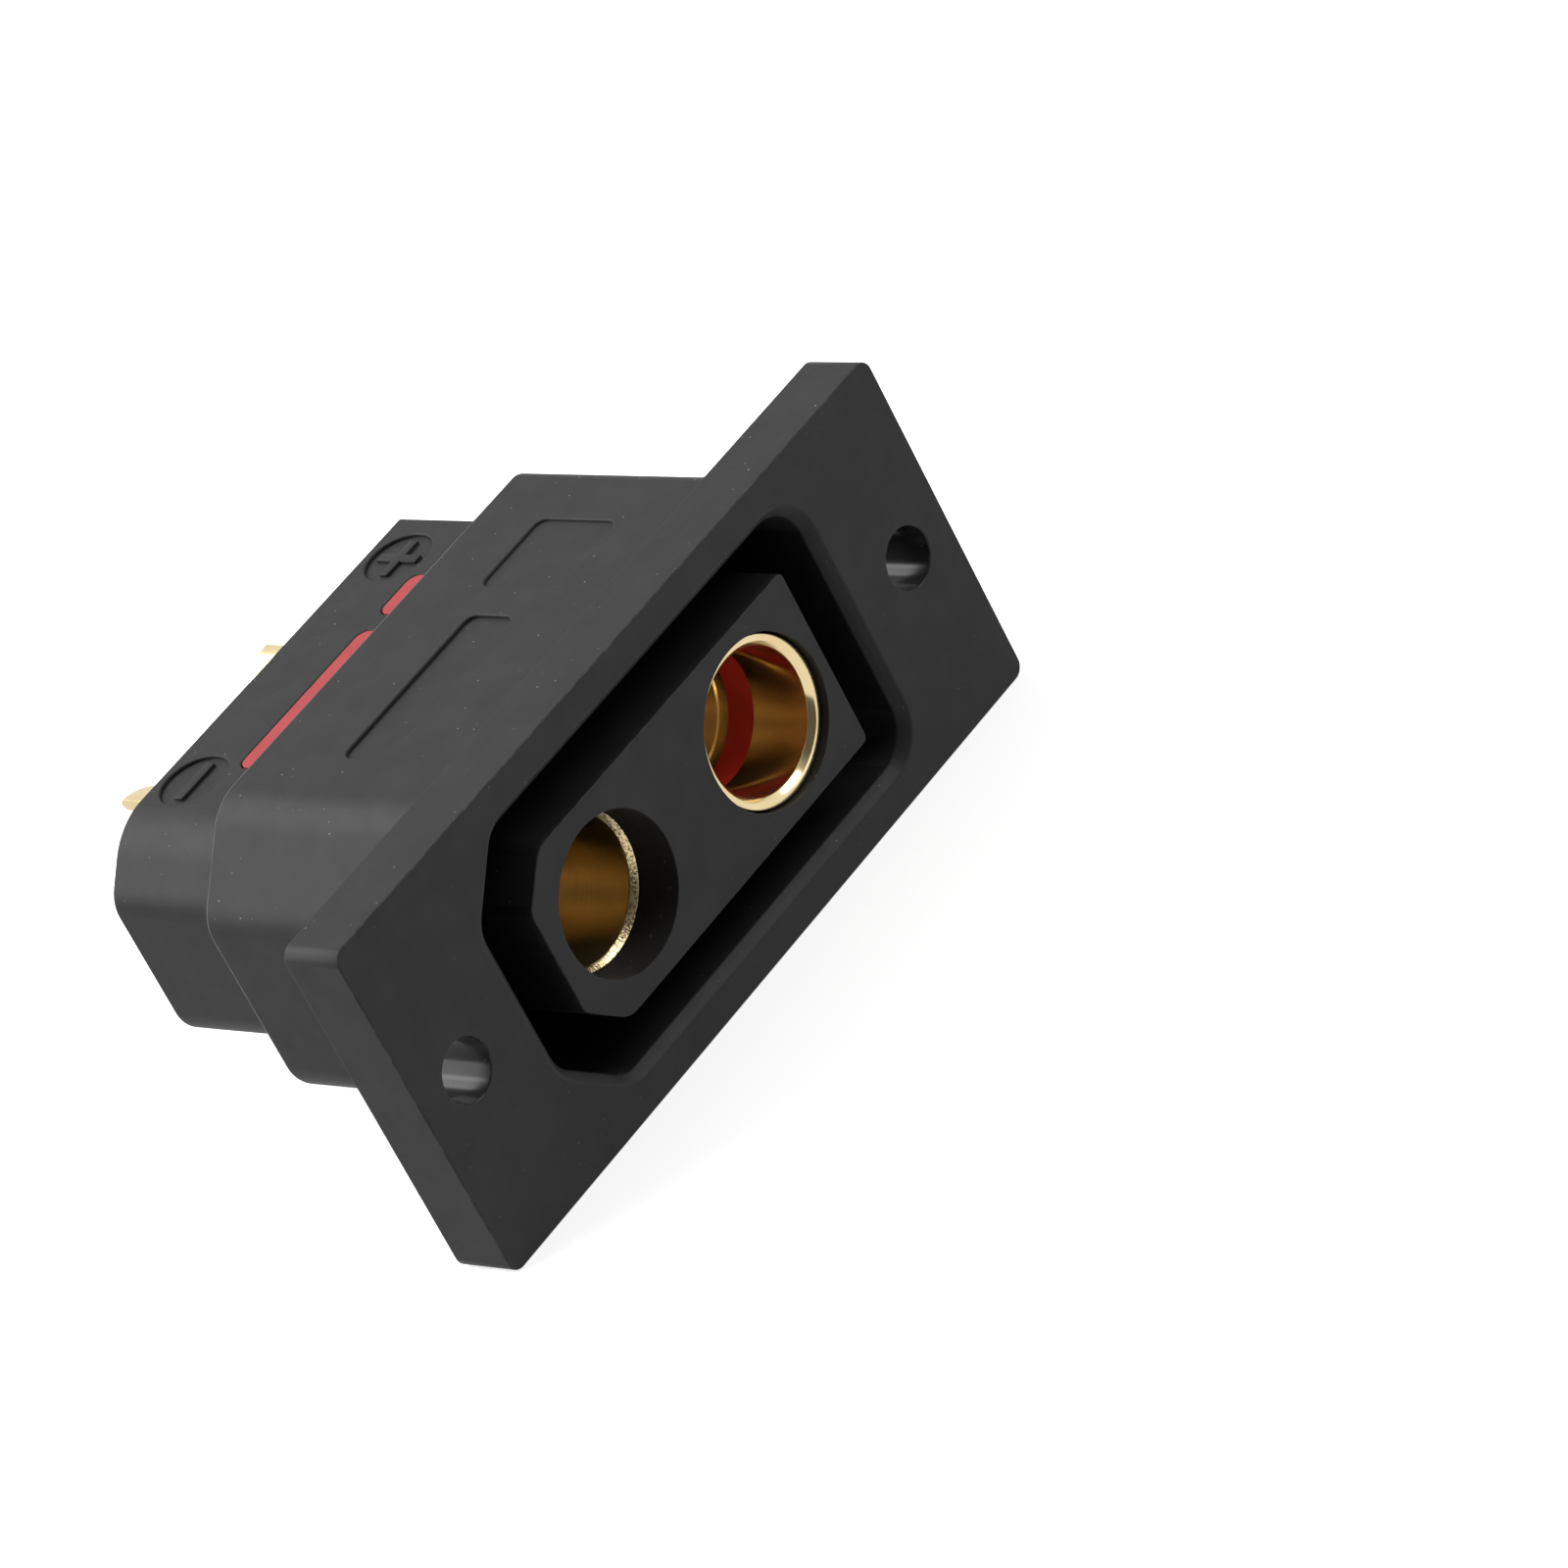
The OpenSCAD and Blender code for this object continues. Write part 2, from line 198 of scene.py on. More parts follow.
class Finish(Wires):
    """A hand for wiring one procedural material."""

    def __init__(self, name: str) -> None:
        """Start a material that holds a Principled shader and its output.

        Args:
            name: Name of the new material.
        """
        self.material = bpy.data.materials.new(name)
        self.material.use_nodes = True
        super().__init__(self.material.node_tree)
        self.shader = self.tree.nodes["Principled BSDF"]
        self.place = self.node("ShaderNodeTexCoord").outputs["Object"]

    def along(self) -> dict[str, Socket]:
        """Take the place apart.

        Returns:
            The Object coordinate along each axis, by the axis's letter.
        """
        parts = self.node("ShaderNodeSeparateXYZ")
        self.wire(self.place, parts.inputs["Vector"])
        return {axis: parts.outputs[axis] for axis in "XYZ"}

    def inside(self, half: Span) -> Socket:
        """Tell whether a place lies inside a rectangle about the Y axis.

        Args:
            half: Half the rectangle's width and half its height.

        Returns:
            1 inside it, 0 outside.
        """
        place = self.along()
        tests = [
            self.math("LESS_THAN", self.math("ABSOLUTE", place[axis]), reach)
            for axis, reach in zip("XZ", half)
        ]
        return self.product(*tests)

    def outside(self, half: Span) -> Socket:
        """Tell the opposite of inside."""
        return self.math("SUBTRACT", 1.0, self.inside(half))

    def texture(self, kind: str, size: float, stretch: Place = (1, 1, 1)) -> bpy.types.Node:
        """Lay a texture on Object coordinates.

        Args:
            kind: Blender's name of the node type.
            size: Size of the grain in metres.
            stretch: How many times finer the grain is along each axis.

        Returns:
            The texture's node.
        """
        mapping = self.node("ShaderNodeMapping")
        mapping.inputs["Scale"].default_value = tuple(s / size for s in stretch)
        self.wire(self.place, mapping.inputs["Vector"])
        made = self.node(kind)
        made.inputs["Scale"].default_value = 1.0
        self.wire(mapping.outputs["Vector"], made.inputs["Vector"])
        return made

    def noise(self, size: float, detail: float, stretch: Place = (1, 1, 1)) -> Socket:
        """Lay noise on Object coordinates.

        Args:
            size: Size of the grain in metres.
            detail: Octaves of finer grain.
            stretch: How many times finer the grain is along each axis.

        Returns:
            The noise, from 0 to 1.
        """
        noise = self.texture("ShaderNodeTexNoise", size, stretch)
        noise.inputs["Detail"].default_value = detail
        return noise.outputs["Fac"]

    def blend(self, share: Socket, low: Socket | Colour, high: Colour | float) -> Socket:
        """Lay a colour over a wired or constant one, or a number over a wired one.

        Args:
            share: Share of the colour or number on top.
            low: What lies below; a colour is linear.
            high: What lies on top; a colour is linear.

        Returns:
            The mixed colour or number.
        """
        is_number = isinstance(high, float)
        mix = self.node("ShaderNodeMix", data_type="FLOAT" if is_number else "RGBA")
        mix.inputs["B"].default_value = high if is_number else (*high, 1.0)
        if isinstance(low, tuple):
            mix.inputs["A"].default_value = (*low, 1.0)
        else:
            self.wire(low, mix.inputs["A"])
        self.wire(share, mix.inputs["Factor"])
        return mix.outputs["Result"]

    def bump(self, height: Socket, depth: float, under: Socket | None = None) -> Socket:
        """Turn a height into a bumped normal.

        Args:
            height: Height from 0 to 1.
            depth: Real depth of the relief in metres.
            under: Normal of another relief below, if there is one.

        Returns:
            The bumped normal.
        """
        bump = self.node("ShaderNodeBump")
        bump.inputs["Distance"].default_value = depth
        self.wire(height, bump.inputs["Height"])
        if under is not None:
            self.wire(under, bump.inputs["Normal"])
        return bump.outputs["Normal"]


@dataclass(frozen=True)
class PaintedMoatShade:
    """Shade painted into the deep groove round the island: the plastic's colour is darkened there."""

    half: Span
    across: float
    island_half: Span
    y: Span
    floor_y: float
    share: float

    def depth(self, wires: Finish) -> Socket:
        """Find the walls of the groove, where shade is painted.

        Args:
            wires: The material that they are found on.

        Returns:
            Share of the painted shade, growing from the groove's mouth, 0 outside it.
        """
        place = wires.along()
        aside, up = (wires.math("ABSOLUTE", place[axis]) for axis in "XZ")
        return wires.product(
            wires.spread(place["Y"], self.y, (0.0, self.share)),
            wires.outside(self.island_half),
            wires.inside(self.half),
            wires.math("LESS_THAN", wires.math("ADD", aside, up), self.across),
            wires.math("LESS_THAN", place["Y"], self.floor_y),
        )


@dataclass(frozen=True)
class PaintedEdgeHighlight:
    """Highlight painted pale on edges: the front section's rear rim, and flange, holes and island in front.
    """

    rim_y: Span
    face_y: Span
    moat_half: Span
    island_half: Span
    rim_share: Span = (0.45, 1.0)
    rim_highlight_span: Span = (0.35, 0.6)
    face_share: Span = (0.0, 0.6)
    face_highlight_span: Span = (0.45, 0.65)
    highlight_patch_size: float = 0.8 * MM
    # Colour of the painted highlight
    colour: Colour = (0.075, 0.075, 0.077)

    def share(self, wires: Finish) -> Socket:
        """Find the edges with a painted highlight.

        Args:
            wires: The material that they are found on.

        Returns:
            Share of the painted highlight colour, here more and there less, 0 off these edges.
        """
        y = wires.along()["Y"]
        off_moat = wires.math("MAXIMUM", wires.outside(self.moat_half), wires.inside(self.island_half))
        in_front = wires.product(wires.between(y, self.face_y), off_moat)
        rim = wires.between(y, self.rim_y)
        highlight_patches = wires.noise(self.highlight_patch_size, detail=2.0)
        on_rim = wires.product(rim, wires.spread(highlight_patches, self.rim_highlight_span, self.rim_share))
        on_face = wires.product(in_front, wires.spread(highlight_patches, self.face_highlight_span, self.face_share))
        return wires.math("ADD", on_rim, on_face)


@dataclass(frozen=True)
class MouldedPlastic:
    """Satin moulded plastic: fine grain, faint mottling, dust, shade painted into a groove, cored holes and
    a highlight painted on edges.
    """

    name: str
    colour: Colour
    pale: Colour
    roughness: Span
    gloss: float
    grain_depth: float = 0.0015 * MM
    grain_size: float = 0.09 * MM
    mottle_size: float = 2.4 * MM
    mottle_span: Span = (0.35, 0.7)
    sheen_size: float = 0.9 * MM
    speck_pitch: float = 0.0
    speck_r: Span = (0.05, 0.11)
    speck_choice: Span = (0.66, 1.0)
    speck_slope: Span = (0.0, 0.8)
    speck_share: Span = (0.2, 1.0)
    speck_colour: Colour = (0.32, 0.32, 0.33)
    cored_x: float = 0.0
    cored_r: float = 0.0
    cored_roughness: float = 0.2
    # Shade painted into the groove round the island, if any
    painted_moat_shade: PaintedMoatShade | None = None
    # Highlight painted pale on edges, if any
    worn: PaintedEdgeHighlight | None = None

    def material(self) -> bpy.types.Material:
        """Wire the finish.

        Returns:
            The material.
        """
        wires = Finish(self.name)
        shader = wires.shader
        shader.inputs["Specular IOR Level"].default_value = self.gloss
        mottle = wires.noise(self.mottle_size, detail=3.0)
        colour = wires.blend(wires.spread(mottle, self.mottle_span, (0.0, 1.0)), self.colour, self.pale)
        if self.speck_pitch:
            colour = wires.blend(self.dust(wires), colour, self.speck_colour)
        # Painted shade: the groove round the island is darkened towards black
        if self.painted_moat_shade:
            colour = wires.blend(self.painted_moat_shade.depth(wires), colour, BLACK)
        # Painted highlight: pale lines on the rim and on the front edges
        if self.worn:
            colour = wires.blend(self.worn.share(wires), colour, self.worn.colour)
        wires.wire(colour, shader.inputs["Base Color"])
        rough = wires.spread(wires.noise(self.sheen_size, detail=4.0), NOISE_BULK, self.roughness)
        if self.cored_r:
            rough = wires.blend(self.in_cored_hole(wires), rough, self.cored_roughness)
        wires.wire(rough, shader.inputs["Roughness"])
        grain = wires.noise(self.grain_size, detail=3.0)
        wires.wire(wires.bump(grain, self.grain_depth), shader.inputs["Normal"])
        return wires.material

    def in_cored_hole(self, wires: Finish) -> Socket:
        """Find the walls of the two holes along Y whose core pins were polished.

        Args:
            wires: The material that they are found on.

        Returns:
            1 on such a wall, 0 elsewhere.
        """
        place = wires.along()
        aside = wires.math("SUBTRACT", wires.math("ABSOLUTE", place["X"]), self.cored_x)
        aside_square = wires.product(aside, aside)
        reach_square = wires.math("MULTIPLY_ADD", place["Z"], place["Z"], aside_square)
        return wires.math("LESS_THAN", reach_square, self.cored_r ** 2)

    def dust(self, wires: Finish) -> Socket:
        """Scatter sparse pale specks, most of them where the plastic looks up.

        Args:
            wires: The material that they go on.

        Returns:
            Share of the speck's colour, 0 or up to 1 inside a speck.
        """
        cells = wires.texture("ShaderNodeTexVoronoi", self.speck_pitch)
        dots = wires.spread(cells.outputs["Distance"], self.speck_r, (1.0, 0.0))
        chosen = wires.node("ShaderNodeSeparateColor")
        wires.wire(cells.outputs["Color"], chosen.inputs["Color"])
        few = wires.spread(chosen.outputs["Red"], self.speck_choice, (0.0, 1.0))
        facing = wires.node("ShaderNodeSeparateXYZ")
        wires.wire(wires.node("ShaderNodeNewGeometry").outputs["Normal"], facing.inputs["Vector"])
        settled = wires.spread(facing.outputs["Z"], self.speck_slope, self.speck_share)
        return wires.product(dots, few, settled)


@dataclass(frozen=True)
class GoldPlate:
    """Turned brass under gold plate: lines round the Y axis, light and shade painted down the bore, and a
    scratched mouth.
    """

    name: str
    colour: Colour
    deep: Colour
    # Colour painted down the bore: painted shade in a contact, a painted reflection of the red spacer on the
    # ring's wall
    painted_bore_colour: Colour
    roughness: Span
    stretch: float = 0.7
    stretch_turn: float = 0.25
    cloud_size: float = 1.6 * MM
    line_pitch: float = 0.1 * MM
    line_depth: float = 0.0004 * MM
    line_span: Span = (0.25, 0.75)
    painted_bore_span: Span = (4.0 * MM, 9.0 * MM)
    painted_bore_end: Span = (18.0 * MM, 20.0 * MM)
    scratch_size: float = 0.13 * MM
    scratch_depth: float = 0.03 * MM
    scratch_fade: float = 0.05 * MM
    scratch_shade: float = 0.7
    fleck_span: Span = (0.5, 0.6)
    fleck_colour: Colour = (0.05, 0.035, 0.015)

    def material(self, axis_x: float, scratched_y: float | None = None) -> bpy.types.Material:
        """Wire the finish for a part turned about one axis.

        Args:
            axis_x: Place of the axis along X.
            scratched_y: Place along Y before which the mouth is scratched, if it is.

        Returns:
            The material.
        """
        side = "positive" if axis_x > 0 else "negative"
        state = "worn" if scratched_y else "clean"
        wires = Finish(f"{self.name}_{side}_{state}")
        shader = wires.shader
        shader.inputs["Metallic"].default_value = 1.0
        shader.inputs["Anisotropic"].default_value = self.stretch
        shader.inputs["Anisotropic Rotation"].default_value = self.stretch_turn
        place = wires.along()
        wires.wire(self.round_axis(wires, place, axis_x), shader.inputs["Tangent"])
        lines = wires.noise(self.line_pitch, detail=2.0, stretch=(0.0, 1.0, 0.0))
        cloud = wires.spread(wires.noise(self.cloud_size, detail=3.0), NOISE_BULK, (0.0, 1.0))
        # Colour painted down the bore in place of its light and shade, fading out again towards the back
        down = wires.spread(place["Y"], self.painted_bore_span, (0.0, 1.0))
        painted_bore_share = wires.product(down, wires.spread(place["Y"], self.painted_bore_end, (1.0, 0.0)))
        colour = wires.blend(painted_bore_share, wires.blend(cloud, self.colour, self.deep), self.painted_bore_colour)
        normal = wires.bump(lines, self.line_depth)
        if scratched_y is not None:
            worn = wires.spread(place["Y"], (scratched_y - self.scratch_fade, scratched_y), (1.0, 0.0))
            scratches = wires.product(wires.noise(self.scratch_size, detail=3.0), worn)
            normal = wires.bump(scratches, self.scratch_depth, normal)
            flecks = wires.spread(scratches, self.fleck_span, (0.0, self.scratch_shade))
            colour = wires.blend(flecks, colour, self.fleck_colour)
        wires.wire(colour, shader.inputs["Base Color"])
        wires.wire(wires.spread(lines, self.line_span, self.roughness), shader.inputs["Roughness"])
        wires.wire(normal, shader.inputs["Normal"])
        return wires.material

    @staticmethod
    def round_axis(wires: Finish, place: dict[str, Socket], axis_x: float) -> Socket:
        """Find the direction of the turned lines.

        Args:
            wires: The material that they are on.
            place: Object coordinates by axis.
            axis_x: Place of the axis along X.

        Returns:
            The direction round the axis.
        """
        way = wires.node("ShaderNodeCombineXYZ")
        wires.wire(wires.product(place["Z"], -1.0), way.inputs["X"])
        wires.wire(wires.math("SUBTRACT", place["X"], axis_x), way.inputs["Z"])
        return way.outputs["Vector"]


@dataclass(frozen=True)
class ChipCeramic:
    """A chip resistor: dark coat between two tinned ends, told apart along Y."""

    name: str
    middle_y: float
    coat_len: float
    coat: Colour = (0.012, 0.012, 0.014)
    tin: Colour = (0.6, 0.6, 0.58)
    roughness: Span = (0.35, 0.55)
    coat_fade: float = 0.02 * MM
    grain_size: float = 0.2 * MM

    def material(self) -> bpy.types.Material:
        """Wire the finish.

        Returns:
            The material.
        """
        wires = Finish(self.name)
        shader = wires.shader
        from_middle = wires.math("ABSOLUTE", wires.math("SUBTRACT", wires.along()["Y"], self.middle_y))
        coat_end = self.coat_len / 2
        ends = wires.spread(from_middle, (coat_end - self.coat_fade, coat_end), (0.0, 1.0))
        wires.wire(wires.blend(ends, self.coat, self.tin), shader.inputs["Base Color"])
        wires.wire(ends, shader.inputs["Metallic"])
        grain = wires.noise(self.grain_size, detail=3.0)
        wires.wire(wires.spread(grain, NOISE_BULK, self.roughness), shader.inputs["Roughness"])
        return wires.material


def take(piece: bpy.types.Object) -> None:
    """Make an object the active one and the only one that is selected.

    Args:
        piece: The object.
    """
    bpy.ops.object.select_all(action="DESELECT")
    piece.select_set(True)
    bpy.context.view_layer.objects.active = piece


@contextmanager
def editing(piece: bpy.types.Object) -> Iterator[None]:
    """Hold one object alone in edit mode.

    Args:
        piece: The object to edit.

    Yields:
        Nothing, while the object is in edit mode.
    """
    take(piece)
    bpy.ops.object.mode_set(mode="EDIT")
    try:
        yield
    finally:
        bpy.ops.object.mode_set(mode="OBJECT")


def pick(piece: bpy.types.Object, kind: str, wanted: Callable[[object], bool]) -> None:
    """Select the vertices, edges or faces that a test wants, in edit mode.

    Args:
        piece: The object in edit mode.
        kind: "verts", "edges" or "faces".
        wanted: Test of one element.
    """
    modes = {"verts": "VERT", "edges": "EDGE", "faces": "FACE"}
    bpy.ops.mesh.select_mode(type=modes[kind])
    bpy.ops.mesh.select_all(action="DESELECT")
    work = bmesh.from_edit_mesh(piece.data)
    for element in getattr(work, kind):
        if wanted(element):
            element.select_set(True)
    bmesh.update_edit_mesh(piece.data)


def apply_modifier(piece: bpy.types.Object, kind: str, **settings: object) -> None:
    """Add a modifier to a piece and apply it at once.

    Args:
        piece: The object to change.
        kind: Blender's name of the modifier type.
        settings: Properties of the modifier by name.
    """
    take(piece)
    modifier = piece.modifiers.new(kind.title(), kind)
    for name, value in settings.items():
        setattr(modifier, name, value)
    bpy.ops.object.modifier_apply(modifier=modifier.name)


def smooth(piece: bpy.types.Object, angle_deg: float) -> None:
    """Shade a piece smooth up to an angle, with flat faces kept flat.

    Args:
        piece: The object to shade.
        angle_deg: Edges sharper than this stay sharp.
    """
    take(piece)
    bpy.ops.object.shade_smooth_by_angle(angle=math.radians(angle_deg))
    apply_modifier(piece, "WEIGHTED_NORMAL", keep_sharp=True, weight=AREA_WEIGHT)


def block(name: str, low: Vector, high: Vector) -> bpy.types.Object:
    """Shape a block between two corners.

    Args:
        name: Name of the new object.
        low: Its lowest corner.
        high: Its highest corner.

    Returns:
        The block.
    """
    bpy.ops.mesh.primitive_cube_add(size=1.0)
    made = bpy.context.object
    made.name = name
    with editing(made):
        bpy.ops.mesh.select_all(action="SELECT")
        bpy.ops.transform.resize(value=high - low)
        bpy.ops.transform.translate(value=(low + high) / 2)
    return made


def combine(piece: bpy.types.Object, tool: bpy.types.Object, operation: str) -> None:
    """Add a tool body to a piece or cut it away, and discard the tool.

    Args:
        piece: The object to change.
        tool: The body that changes it.
        operation: "UNION" or "DIFFERENCE".
    """
    apply_modifier(piece, "BOOLEAN", object=tool, operation=operation, solver="EXACT")
    bpy.data.objects.remove(tool)


def dress(piece: bpy.types.Object, material: bpy.types.Material) -> None:
    """Give a piece one material and no other."""
    piece.data.materials.clear()
    piece.data.materials.append(material)


def dress_node(node: str, material: bpy.types.Material) -> None:
    """Give a CAD node that keeps its solid a better material.

    Args:
        node: Name of the node.
        material: Its material.
    """
    dress(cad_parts[node], material)
    log.info("%s: keeps its CAD solid", node)


def seat(piece: bpy.types.Object, slot: Slot, *nodes: str) -> None:
    """Tie a new piece to the part in place of its CAD nodes.

    Args:
        piece: The finished piece.
        slot: Material slot of the record; not used.
        nodes: CAD nodes that the piece stands for.
    """
    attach(piece, BODY)
    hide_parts(*nodes)
    log.info("%s: %d faces, stands for %s", piece.name, len(piece.data.polygons), ", ".join(nodes))


@dataclass
class Housing:
    """The moulded housing: the CAD solid with softened edges and the bars of the polarity signs."""

    finish: MouldedPlastic
    rim_edge: float = 0.3 * MM
    edge: float = 0.1 * MM
    island_edge: float = 0.08 * MM
    bar_edge: float = 0.04 * MM
    mouth_edge: float = 0.03 * MM
    edge_steps: int = 3
    sharp_deg: float = 28.0
    smooth_deg: float = 40.0
    flat_deg: float = 0.3
    level_slack: float = 0.01 * MM
    seat_slack: float = 0.1 * MM
    front_len: float = 15.1 * MM
    sign_depth: float = 0.2 * MM
    sign_r: float = 2.0 * MM
    sign_setback: float = 2.6 * MM
    rear_half_w: float = 15.2 * MM
    rear_half_h: float = 7.35 * MM
    plus_inset: float = 4.45 * MM
    minus_inset: float = 6.85 * MM
    bar_len: float = 3.0 * MM
    bar_w: float = 0.62 * MM
    bar_rise: float = 0.18 * MM
    bar_root: float = 0.15 * MM
    seat_y: float = 19.2 * MM
    island_half: Span = (12.7 * MM, 5.8 * MM)
    contact_x: float = 7.0 * MM
    mouth_r: float = 4.95 * MM
    end_cuts_x: tuple[float, ...] = (-20.9 * MM, -7.0 * MM, 7.0 * MM, 20.9 * MM)
    top_cuts_x: tuple[float, ...] = (-8.35 * MM, -1.3 * MM, 7.65 * MM, 10.75 * MM)
    top_cuts_y: tuple[float, ...] = (7.3 * MM, 18.45 * MM, 22.25 * MM)

    def build(self) -> None:
        """Model and dress the housing."""
        shell = self.merged_copy()
        plus, minus = self.sign_centres
        self.add_bar(shell, plus, Vector((self.bar_len, self.bar_w)))
        self.add_bar(shell, plus, Vector((self.bar_w, self.bar_len)))
        self.add_bar(shell, minus, Vector((self.bar_len, self.bar_w)))
        self.split_faces(shell)
        self.soften(shell)
        dress(shell, self.finish.material())
        seat(shell, Slot.NYLON, "housing")

    @cached_property
    def sign_centres(self) -> tuple[Vector, Vector]:
        """Find the two polarity signs.

        Returns:
            Middle of the plus sign and of the minus sign in X and Y.
        """
        sign_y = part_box("housing")[1].y - self.sign_setback
        plus_x = self.rear_half_w - self.plus_inset
        minus_x = self.minus_inset - self.rear_half_w
        return Vector((plus_x, sign_y)), Vector((minus_x, sign_y))

    def merged_copy(self) -> bpy.types.Object:
        """Copy the CAD solid and join its loose triangles.

        Returns:
            The copy.
        """
        shell = bpy.data.objects.new("housing_shell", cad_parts["housing"].data.copy())
        bpy.context.scene.collection.objects.link(shell)
        with editing(shell):
            bpy.ops.mesh.select_all(action="SELECT")
            bpy.ops.mesh.customdata_custom_splitnormals_clear()
            self.join_flat()
        return shell

    def join_flat(self) -> None:
        """Join double points and the triangles of flat faces, in edit mode."""
        bpy.ops.mesh.select_all(action="SELECT")
        bpy.ops.mesh.remove_doubles(threshold=MERGE)
        bpy.ops.mesh.dissolve_limited(angle_limit=math.radians(self.flat_deg))

    def split_faces(self, shell: bpy.types.Object) -> None:
        """Join flat triangles and cut every flat face with holes across the middle of its holes.

        Args:
            shell: The housing.
        """
        cuts = [(0, x) for x in self.end_cuts_x] + [(2, 0.0)]
        top_cuts = [(0, x) for x in self.top_cuts_x] + [(1, y) for y in self.top_cuts_y]
        with editing(shell):
            self.join_flat()
            self.cut_across(shell, lambda face: abs(face.normal.y) > FACING, cuts)
            self.cut_across(shell, lambda face: face.normal.z > FACING, top_cuts)
            pick(shell, "edges", lambda edge: self.is_old_seam(edge, cuts, top_cuts))
            bpy.ops.mesh.dissolve_edges(use_verts=False)

    @staticmethod
    def cut_across(shell: bpy.types.Object, wanted: Callable[[object], bool], cuts: Sequence[Cut]) -> None:
        """Cut the wanted faces along planes, in edit mode.

        Args:
            shell: The housing.
            wanted: Test of one face.
            cuts: Axis and place of each plane.
        """
        for axis, place in cuts:
            across = Vector([float(axis == i) for i in range(3)])
            pick(shell, "faces", wanted)
            bpy.ops.mesh.bisect(plane_co=across * place, plane_no=across, threshold=MERGE / 2)

    def is_old_seam(self, edge: bmesh.types.BMEdge, cuts: Sequence[Cut], top_cuts: Sequence[Cut]) -> bool:
        """Tell whether an edge lies in a flat face but along none of its cuts.

        Args:
            edge: An edge of the housing.
            cuts: Cuts of the faces across Y.
            top_cuts: Cuts of the faces that look up.

        Returns:
            True if the edge can go.
        """
        if len(edge.link_faces) != 2 or edge.calc_face_angle() > math.radians(self.flat_deg):
            return False
        normal = edge.link_faces[0].normal
        kept = cuts if abs(normal.y) > FACING else top_cuts if normal.z > FACING else []
        return not any(
            all(abs(vert.co[axis] - place) < MERGE for vert in edge.verts) for axis, place in kept
        )

    def add_bar(self, shell: bpy.types.Object, centre: Vector, size: Vector) -> None:
        """Raise one bar of a polarity sign from the floor of its recess.

        Args:
            shell: The housing.
            centre: Place of the bar's middle in X and Y.
            size: Length of the bar in X and Y.
        """
        floor_z = self.rear_half_h - self.sign_depth
        low = Vector((*(centre - size / 2), floor_z - self.bar_root))
        high = Vector((*(centre + size / 2), floor_z + self.bar_rise))
        combine(shell, block("bar", low, high), "UNION")

    def soften(self, shell: bpy.types.Object) -> None:
        """Round the outer edges, the fine ones of the recesses less.

        Args:
            shell: The housing.
        """
        with editing(shell):
            work = bmesh.from_edit_mesh(shell.data)
            weight = work.edges.layers.float.new("bevel_weight_edge")
            for edge in work.edges:
                edge[weight] = self.edge_width(edge) / self.rim_edge
            bmesh.update_edit_mesh(shell.data)
        apply_modifier(
            shell, "BEVEL", width=self.rim_edge, segments=self.edge_steps, limit_method="WEIGHT",
            use_clamp_overlap=False,
        )
        smooth(shell, self.smooth_deg)

    def edge_width(self, edge: bmesh.types.BMEdge) -> float:
        """Tell how wide an edge is rounded.

        Args:
            edge: An edge of the housing.

        Returns:
            The width of its rounding, most on the front section's rear rim, 0 for a flat or inner edge.
        """
        if len(edge.link_faces) != 2 or not edge.is_convex:
            return 0.0
        if edge.calc_face_angle() < math.radians(self.sharp_deg):
            return 0.0
        middle = (edge.verts[0].co + edge.verts[1].co) / 2
        if abs(middle.y - self.seat_y) < self.seat_slack:
            return 0.0
        if abs(middle.y - self.front_len) < self.level_slack:
            return self.rim_edge
        by_sign = any((middle.xy - centre).length < self.sign_r for centre in self.sign_centres)
        if by_sign and self.level_slack < self.rear_half_h - middle.z < self.sign_depth:
            return self.bar_edge
        if middle.y < 0 and math.hypot(abs(middle.x) - self.contact_x, middle.z) < self.mouth_r:
            return self.mouth_edge
        on_island = abs(middle.x) < self.island_half[0] and abs(middle.z) < self.island_half[1]
        return self.island_edge if on_island and middle.y < 0 else self.edge


@dataclass(frozen=True)
class Corner:
    """A corner of a turned profile: radius, place along Y, and how far its edge is rounded."""

    radius: float
    y: float
    rounding: float = 0.0


